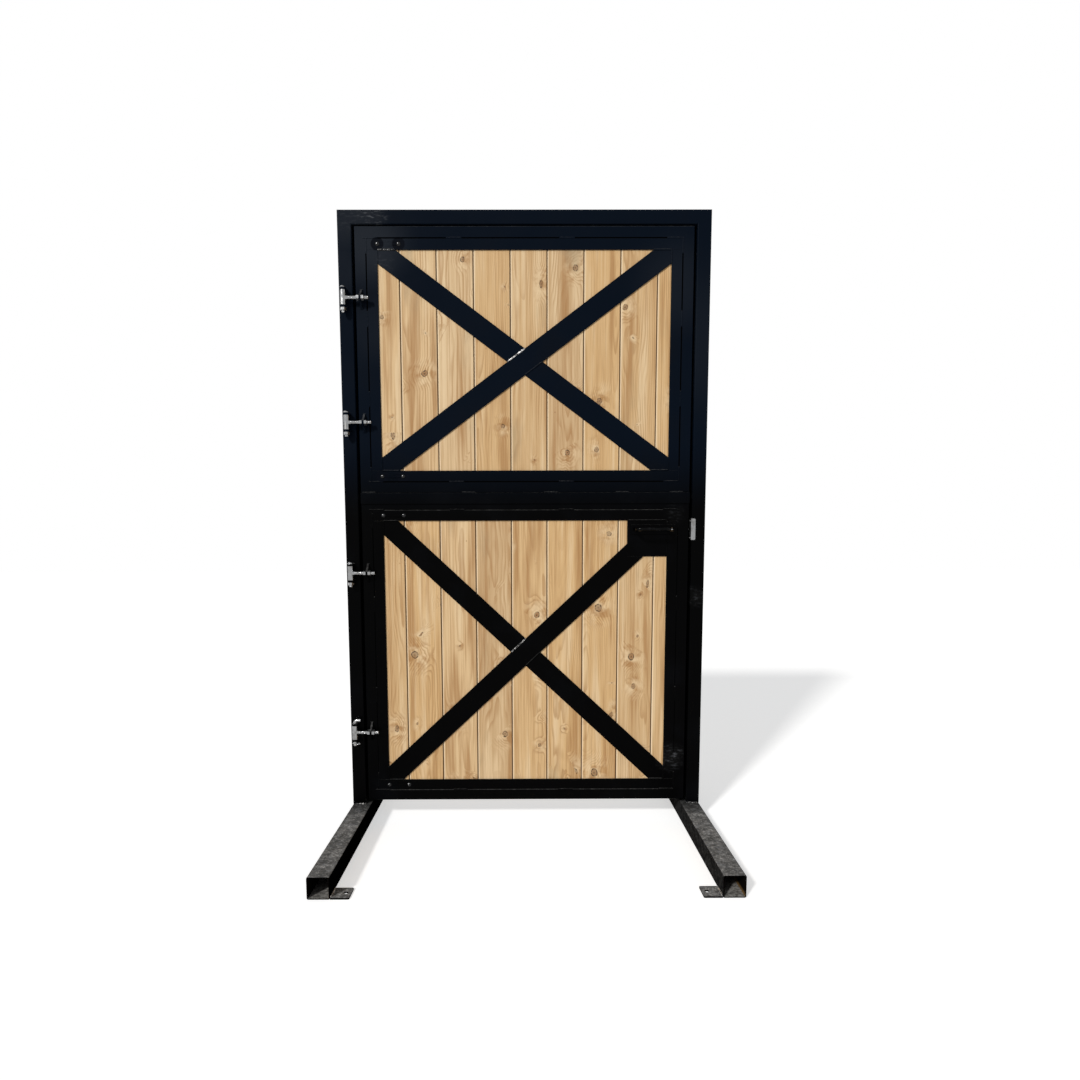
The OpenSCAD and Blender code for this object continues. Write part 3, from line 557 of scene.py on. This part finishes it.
    # Colour: early and late wood, the board's own tint, pale figure round knots, stains, then the knots
    tint = mix_colours(tree, spread(tree, luck[1], 0.25, 0.85, 0.0, 0.8), early_wood, grey_wood)
    tint = mix_colours(tree, spread(tree, luck[2], 0.45, 1.0, 0.0, 0.55), tint, pale_wood)
    tint = mix_colours(tree, spread(tree, broad, 0.5, 0.32, 0.0, 0.75), tint, pale_wood)
    tint = mix_colours(tree, spread(tree, broad, 0.5, 0.68, 0.0, 0.7), tint, late_wood)
    patchy = cloud(tree, stretch(tree, place, (16.0, 6.0, 3.0)), 1.0, 2.0)
    plain = spread(tree, patchy, 0.4, 0.62, 0.12, 0.6)
    figure = calc(tree, "MINIMUM", calc(tree, "MULTIPLY_ADD", halo, 0.55, plain), 0.85)
    colour = mix_colours(tree, calc(tree, "MULTIPLY", late, figure), tint, late_wood)
    colour = mix_colours(tree, spread(tree, streak, 0.5, 0.72, 0.0, 0.6), colour, late_wood)
    colour = mix_colours(tree, spread(tree, streak, 0.48, 0.26, 0.0, 0.5), colour, pale_wood)
    shade = calc(tree, "MULTIPLY", halo, spread(tree, cloud(tree, place, 30.0, 4.0), 0.48, 0.60, 0.0, 0.85))
    colour = mix_colours(tree, shade, colour, late_wood)
    glow = calc(tree, "MULTIPLY", halo, spread(tree, cloud(tree, place, 22.0, 3.0), 0.4, 0.65))
    colour = mix_colours(tree, calc(tree, "MULTIPLY", glow, 0.85), colour, pale_wood)
    smoke = spread(tree, cloud(tree, stretch(tree, place, (7.0, 3.0, 2.4)), 1.0, 4.0), 0.56, 0.78, 0.0, 0.5)
    colour = mix_colours(tree, smoke, colour, stain)
    dark_fibre = spread(tree, fibre, 0.55, 0.8, 0.0, 0.45)
    colour = mix_colours(tree, dark_fibre, colour, late_wood)
    knot_colour = mix_colours(tree, lot[2], knot_brown, knot_grey)
    knot_colour = mix_colours(tree, calc(tree, "MULTIPLY", heart, 0.85), knot_colour, knot_rim)
    strength = calc(tree, "MULTIPLY", core, spread(tree, lot[2], 0.0, 1.0, 0.95, 0.55))
    colour = mix_colours(tree, strength, colour, knot_colour)
    colour = mix_colours(tree, rim, colour, knot_rim)
    # Painted light at the V joints: a painted highlight on the flank that faces the key light, and painted
    # shade in the joint and on its other flank.
    from_seam = calc(tree, "MULTIPLY", on_board, board_width)
    colour = mix_colours(tree, spread(tree, from_seam, 0.0030, 0.0068, 0.75, 0.0), colour, lit_edge)
    shaded = spread(tree, from_seam, board_width - 0.0052, board_width - 0.0012, 0.0, 0.95)
    seam = calc(tree, "MAXIMUM", shaded, spread(tree, from_seam, 0.0004, 0.0018, 0.95, 0.0))
    colour = mix_colours(tree, seam, colour, seam_shade_brown)
    pin = add_node(tree, "TexVoronoi", {"Vector": stretch(tree, place, (16.0, 5.0, 11.0)), "Scale": 1.0})
    pin_lot = add_node(tree, "SeparateColor", {0: pin.outputs["Color"]}).outputs
    pin_dot = spread(tree, pin.outputs["Distance"], 0.018, 0.05, 1.0, 0.0)
    pin_dot = calc(tree, "MULTIPLY", pin_dot, calc(tree, "GREATER_THAN", pin_lot[0], 0.72))
    colour = mix_colours(tree, calc(tree, "MULTIPLY", pin_dot, 0.8), colour, knot_brown)
    tree.links.new(colour, out["Colour"])
    tree.links.new(spread(tree, fibre, 0.3, 0.7, 0.52, 0.70), out["Roughness"])
    relief = calc(tree, "MULTIPLY_ADD", late, 0.5, calc(tree, "MULTIPLY", fibre, 0.6))
    tree.links.new(calc(tree, "MULTIPLY_ADD", core, 0.4, relief), out["Height"])
    return tree


def board_finish():
    """Oiled pine boards."""
    made, tree, shader, position = new_material("boards")
    pine = add_node(tree, "Group", node_tree=pine_group())
    tree.links.new(position, pine.inputs["Position"])
    tree.links.new(pine.outputs["Colour"], shader.inputs["Base Color"])
    tree.links.new(pine.outputs["Roughness"], shader.inputs["Roughness"])
    shader.inputs["Specular IOR Level"].default_value = 0.25
    raise_surface(tree, shader, pine.outputs["Height"], 0.0006)
    return made


board_edge = 0.0007
boards = board_finish()
board_names = [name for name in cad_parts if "_board_" in name]
dress(board_names, boards, board_edge)

# Braces
# Flat bar from corner to corner of each leaf: the rising bar is one length, and the falling one is
# two lengths butted against it. The welds that catch the sun get bright metal as a painted highlight; the
# rest are painted black.

for leaf in ("upper", "lower"):
    dress([f"{leaf}_long_brace", f"{leaf}_short_braces"], leaf_paint, cut_edge)
bead_sink = 0.0006


def brace_runs(leaf, brace_width):
    """Weld runs of one leaf's braces: the sunlit butt, the shaded butt, and the corners from the left."""
    low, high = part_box(f"{leaf}_short_braces")
    centre = (low + high) / 2
    half_x, half_z = (high.x - low.x) / 2, (high.z - low.z) / 2
    slope = math.atan2(half_z, half_x)
    half = brace_width / 2
    butt_x, butt_z = half / math.sin(slope), half / math.cos(slope)
    depth = face + bead_sink
    sunlit = [((centre.x - butt_x, depth, centre.z), (centre.x, depth, centre.z + butt_z))]
    shaded = [((centre.x, depth, centre.z - butt_z), (centre.x + butt_x, depth, centre.z))]
    corners = []
    for side_x in (-1, 1):
        for side_z in (-1, 1):
            corner = (centre.x + side_x * half_x, depth, centre.z + side_z * half_z)
            if leaf == "lower" and side_x > 0 and side_z > 0:
                continue
            corners.append((corner, (corner[0] - side_x * butt_x, depth, corner[2])))
            corners.append((corner, (corner[0], depth, corner[2] - side_z * butt_z)))
    return sunlit, shaded, corners


brace_width = 0.075
crossing_bead, brace_bead, brace_end_bead = 0.0030, 0.0028, 0.0034
# The sunlit butt of each crossing gets bright metal as a painted highlight. The shaded butt and the corners
# stay painted.
for leaf, crossing_finish in (("upper", bright_weld_highlight), ("lower", dull_weld_highlight)):
    sunlit, shaded, corners = brace_runs(leaf, brace_width)
    weld_beads(f"{leaf}_crossing_weld", f"{leaf}_leaf", crossing_finish, sunlit, crossing_bead)
    weld_beads(f"{leaf}_brace_welds", f"{leaf}_leaf", leaf_paint, shaded + corners, brace_bead)
    # The upper corner weld under the top rail catches the sun and gets dim bright metal as a painted
    # highlight.
    if leaf == "upper":
        under_top_rail = corners[2:3]
        weld_beads("upper_brace_end_weld", "upper_leaf", dim_weld_highlight, under_top_rail, brace_end_bead)

# Round-head bolts of the channels
# Domed bolts in pairs at the hinge side, dipped in gloss black, which give a sharp glint.


def gloss_black_finish():
    """Gloss black enamel, slightly uneven where it was dipped."""
    thin_enamel = (0.0010, 0.0012, 0.0018, 1)
    thick_enamel = (0.0030, 0.0032, 0.0038, 1)
    made, tree, shader, position = new_material("gloss_black")
    runs = cloud(tree, position, 90.0, 3.0)
    colour = mix_colours(tree, runs, thin_enamel, thick_enamel)
    tree.links.new(colour, shader.inputs["Base Color"])
    tree.links.new(spread(tree, runs, 0.3, 0.7, 0.20, 0.27), shader.inputs["Roughness"])
    shader.inputs["Specular IOR Level"].default_value = 0.30
    raise_surface(tree, shader, runs, 0.0003, 0.2)
    return made


dress(("upper_flange_bolts", "lower_flange_bolts"), gloss_black_finish())

# Lap strip
# Angle under the upper leaf, stitch-welded along its top edge, whose leg hangs in front of the lower leaf.
fold_edge = 0.0009
dress(("lap_strip",), leaf_paint, fold_edge)
lap_stitch_middles = (-0.571, -0.208, 0.093, 0.354, 0.551)
half_lap_stitch = 0.025
lap_bead = 0.0030
proud, above_strip = 0.0012, 0.0010
lap_seam = (face - proud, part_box("lap_strip")[1].z + above_strip)
lap_runs = []
for middle in lap_stitch_middles:
    lap_runs.append(((middle - half_lap_stitch, *lap_seam), (middle + half_lap_stitch, *lap_seam)))
weld_beads("lap_welds", "upper_leaf", leaf_paint, lap_runs, lap_bead)

# Hinges
# Ears welded to the jamb hold a zinc bolt, on which the barrel of a threaded rod turns. The rod passes
# through a tab on the stile, between two nuts that set the leaf. The lowest bolt is a pull pin.


def zinc_finish():
    """Bright zinc plate with dull patches and a few dark marks."""
    bright_zinc = (0.31, 0.315, 0.32, 1)
    dull_zinc = (0.19, 0.187, 0.18, 1)
    mark_black = (0.06, 0.055, 0.05, 1)
    made, tree, shader, position = new_material("zinc")
    dull = cloud(tree, position, 55.0, 4.0, 0.6)
    marks = spread(tree, cloud(tree, position, 260.0, 4.0, 0.7), 0.56, 0.70, 0.0, 0.7)
    colour = mix_colours(tree, spread(tree, dull, 0.4, 0.7), bright_zinc, dull_zinc)
    colour = mix_colours(tree, marks, colour, mark_black)
    tree.links.new(colour, shader.inputs["Base Color"])
    tree.links.new(spread(tree, dull, 0.3, 0.7, 0.12, 0.28), shader.inputs["Roughness"])
    shader.inputs["Metallic"].default_value = 1.0
    raise_surface(tree, shader, cloud(tree, position, 700.0, 2.0), 0.0002, 0.4)
    return made


zinc = zinc_finish()
hardware_edge = 0.0004
dress(("hinge_ears",), frame_paint, plate_edge)
dress(("upper_stile_tabs", "lower_stile_tabs"), leaf_paint, plate_edge)
hinge_hardware = ("hinge_bolts", "hinge_bolt_nuts", "pull_pin", "hairpin_clip")
rod_hardware = [f"{leaf}_{part}" for leaf in ("upper", "lower") for part in ("hinge_eyes", "rod_nuts")]
dress((*hinge_hardware, *rod_hardware), zinc, hardware_edge)


def thread_coil(name, body, start, end, radius):
    """Screw thread over a plain shank from start to end: a ridge that climbs one pitch with each turn."""
    pitch, crest, stand_off, sides, cuts = 0.00175, 0.00045, 0.00005, 24, 6
    start, end = Vector(start), Vector(end)
    length = (end - start).length
    along = (end - start).normalized()
    first = along.cross(off_axis).normalized()
    second = along.cross(first)
    rings = round(length / pitch * cuts)
    points, faces = [], []
    for i in range(rings + 1):
        travel = length * i / rings
        fade = min(1.0, min(travel, length - travel) / pitch)
        for k in range(sides):
            turn = k / sides
            ridge = abs(((travel / pitch - turn) % 1.0) * 2 - 1)
            reach = radius + stand_off + crest * ridge * fade
            spoke = first * math.cos(2 * math.pi * turn) + second * math.sin(2 * math.pi * turn)
            points.append(start + along * travel + spoke * reach)
    for i in range(rings):
        for k in range(sides):
            right = (k + 1) % sides
            faces.append((i * sides + k, i * sides + right, (i + 1) * sides + right, (i + 1) * sides + k))
    faces.append(tuple(range(sides - 1, -1, -1)))
    faces.append(tuple(range(rings * sides, (rings + 1) * sides)))
    mesh = bpy.data.meshes.new(name)
    mesh.from_pydata(points, [], faces)
    mesh.shade_smooth()
    mesh.materials.append(zinc)
    coil = bpy.data.objects.new(name, mesh)
    bpy.context.scene.collection.objects.link(coil)
    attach(coil, body)


shank_radius = 0.006
ear_thickness = 0.008
ear_level = 0.0255 + 0.0004
half_tab = 0.035
eye_reach = 0.019
nut_height = 0.010
bolt_tip = 0.0062
tip_cover = 0.0002
stile_tab_bead, ear_bead = 0.0026, 0.0024
ear_runs = []
ears_low, ears_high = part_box("hinge_ears")
bolts_low, bolts_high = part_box("hinge_bolts")
hinge_x = (ears_low.x + ears_high.x) / 2
hinge_y = (bolts_low.y + bolts_high.y) / 2
for leaf in ("upper", "lower"):
    rod_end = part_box(f"{leaf}_hinge_eyes")[1].x
    nuts_low, nuts_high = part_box(f"{leaf}_rod_nuts")
    tabs_low, tabs_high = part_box(f"{leaf}_stile_tabs")
    tab_runs = []
    for place, height in (("high", tabs_high.z - half_tab), ("low", tabs_low.z + half_tab)):
        rod_start = hinge_x + eye_reach
        rod_stretches = (("inner", rod_start, nuts_low.x), ("outer", nuts_high.x, rod_end + tip_cover))
        for part, left, right in rod_stretches:
            thread_coil(
                f"{leaf}_{place}_rod_{part}_thread", f"{leaf}_leaf",
                (left, hinge_y, height), (right, hinge_y, height), shank_radius,
            )
        for side in (tabs_low.x, tabs_high.x):
            tab_runs.append(((side, face, height - half_tab), (side, face, height + half_tab)))
        for base in (ear_level, ear_level + ear_thickness, -ear_level, -ear_level - ear_thickness):
            level = height + base
            ear_runs.append(((ears_low.x, face, level), (ears_high.x, face, level)))
        nut_foot = height - ear_level - ear_thickness - nut_height
        if (leaf, place) != ("lower", "low"):
            thread_coil(
                f"{leaf}_{place}_bolt_thread", "frame",
                (hinge_x, hinge_y, nut_foot - bolt_tip), (hinge_x, hinge_y, nut_foot), shank_radius,
            )
    weld_beads(f"{leaf}_stile_tab_welds", f"{leaf}_leaf", leaf_paint, tab_runs, stile_tab_bead)
weld_beads("ear_welds", "frame", frame_paint, ear_runs, ear_bead)

# Latch and strike
# Plate in the corner of the lower leaf with a cover bar, through which a bent-rod handle moves the bolt.
# Handle and plate are black and rubbed by hands. The strike on the jamb is bright zinc.


def handle_finish():
    """Black enamel rod, polished by hands."""
    enamel_black = (0.0012, 0.0013, 0.0016, 1)
    rubbed_black = (0.0060, 0.0062, 0.0068, 1)
    made, tree, shader, position = new_material("handle_black")
    rubbed = spread(tree, cloud(tree, position, 46.0, 4.0, 0.6), 0.5, 0.72)
    colour = mix_colours(tree, rubbed, enamel_black, rubbed_black)
    tree.links.new(colour, shader.inputs["Base Color"])
    tree.links.new(spread(tree, rubbed, 0.0, 1.0, 0.15, 0.24), shader.inputs["Roughness"])
    shader.inputs["Specular IOR Level"].default_value = 0.05
    raise_surface(tree, shader, cloud(tree, position, 300.0, 2.0), 0.0002, 0.3)
    return made


latch_edge = 0.0007
strike_edge = 0.0005
latch_plate_bead = 0.0026
dress(("latch_plate", "latch_cover"), leaf_paint, latch_edge)
dress(("latch_handle",), handle_finish(), cut_edge)
dress(("latch_bolt",), zinc, hardware_edge)
dress(("strike", "strike_screws"), zinc, strike_edge)
plate_low, plate_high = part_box("latch_plate")
plate_depth = face + bead_sink
left, right = plate_low.x + bead_inset, plate_high.x - bead_inset
bottom, top = plate_low.z + bead_inset, plate_high.z - bead_inset
plate_runs = (
    ((left, plate_depth, plate_high.z), (right, plate_depth, plate_high.z)),
    ((plate_high.x, plate_depth, bottom), (plate_high.x, plate_depth, top)),
)
weld_beads("latch_plate_welds", "lower_leaf", leaf_paint, plate_runs, latch_plate_bead)

# Floor and light
# A plain pale floor that runs out to white, soft light all round and a key light from the upper left.
# A second sun beside the key light adds only glints, on enamel and zinc.

floor_size = 40.0
floor_mesh = bpy.data.meshes.new("floor")
reach = floor_size / 2
floor_mesh.from_pydata(
    [(-reach, -reach, 0), (reach, -reach, 0), (reach, reach, 0), (-reach, reach, 0)], [], [(0, 1, 2, 3)]
)
floor = bpy.data.objects.new("floor", floor_mesh)
bpy.context.scene.collection.objects.link(floor)


def seen_directly(tree):
    """1 for rays that see the background: from the camera, a reflection or through glass."""
    path = add_node(tree, "LightPath").outputs
    seen = calc(tree, "MAXIMUM", path["Is Camera Ray"], path["Is Glossy Ray"])
    return calc(tree, "MAXIMUM", seen, path["Is Transmission Ray"])


floor_paper = bpy.data.materials.new("floor_paper")
floor_paper.use_nodes = True
paper = floor_paper.node_tree
paper_shader = paper.nodes["Principled BSDF"]
paper_shader.inputs["Base Color"].default_value = (0.80, 0.80, 0.80, 1)
paper_shader.inputs["Roughness"].default_value = 0.9
paper_shader.inputs["Specular IOR Level"].default_value = 0.0
paper_shader.inputs["Emission Color"].default_value = (1, 1, 1, 1)
lift_to_white = 0.52
lift = calc(paper, "MULTIPLY", seen_directly(paper), lift_to_white)
paper.links.new(lift, paper_shader.inputs["Emission Strength"])
floor_mesh.materials.append(floor_paper)

world = bpy.data.worlds.new("studio")
bpy.context.scene.world = world
world.use_nodes = True
sky = world.node_tree
sky.nodes.clear()
fill_light = 0.29
soft = add_node(sky, "Background", {"Color": (0.97, 0.985, 1.0, 1), "Strength": fill_light})
white = add_node(sky, "Background", {"Color": (1, 1, 1, 1), "Strength": 1.0})
either = add_node(sky, "MixShader", {0: seen_directly(sky), 1: soft.outputs[0], 2: white.outputs[0]})
add_node(sky, "OutputWorld", {"Surface": either.outputs[0]})

key = bpy.data.lights.new("key", "SUN")
key.energy = 2.4
key.angle = math.radians(5.5)
key.color = (1.0, 0.985, 0.96)
key_lamp = bpy.data.objects.new("key", key)
key_travel = Vector((0.65, 1.0, -0.75))
key_lamp.rotation_euler = key_travel.to_track_quat("-Z", "Y").to_euler()
bpy.context.scene.collection.objects.link(key_lamp)

glint = bpy.data.lights.new("glint", "SUN")
glint.energy = 10.0
glint.angle = key.angle
glint_lamp = bpy.data.objects.new("glint", glint)
glint_lamp.rotation_euler = key_lamp.rotation_euler
glint_lamp.visible_diffuse = False
bpy.context.scene.collection.objects.link(glint_lamp)
shiny = bpy.data.collections.new("shiny")
enamelled = ("upper_flange_bolts", "lower_flange_bolts", "latch_handle")
for name in (*enamelled, *hinge_hardware, *rod_hardware):
    shiny.objects.link(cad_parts[name])
glint_lamp.light_linking.receiver_collection = shiny

# Camera
# Where the photograph was taken from: in front of the middle, about 1.1 m up, tipped slightly down.

image_side = 1080
focal_length = 702.8
image_middle = (527.5, 609.1)
tip_down, turn, roll = math.radians(5.791), math.radians(-0.233), math.radians(0.147)
camera_place = (-0.0037, -2.6207, 1.0781)
camera_data = bpy.data.cameras.new("camera")
camera_data.sensor_width = 36.0
camera_data.sensor_fit = "HORIZONTAL"
camera_data.lens = focal_length * camera_data.sensor_width / image_side
camera_data.shift_x = (image_side / 2 - image_middle[0]) / image_side
camera_data.shift_y = (image_middle[1] - image_side / 2) / image_side
camera = bpy.data.objects.new("camera", camera_data)
camera.matrix_world = (
    Matrix.Translation(camera_place)
    @ Matrix.Rotation(turn, 4, "Z")
    @ Matrix.Rotation(math.pi / 2 - tip_down, 4, "X")
    @ Matrix.Rotation(-roll, 4, "Z")
)
bpy.context.scene.collection.objects.link(camera)
bpy.context.scene.camera = camera
bpy.context.scene.view_settings.view_transform = "Standard"
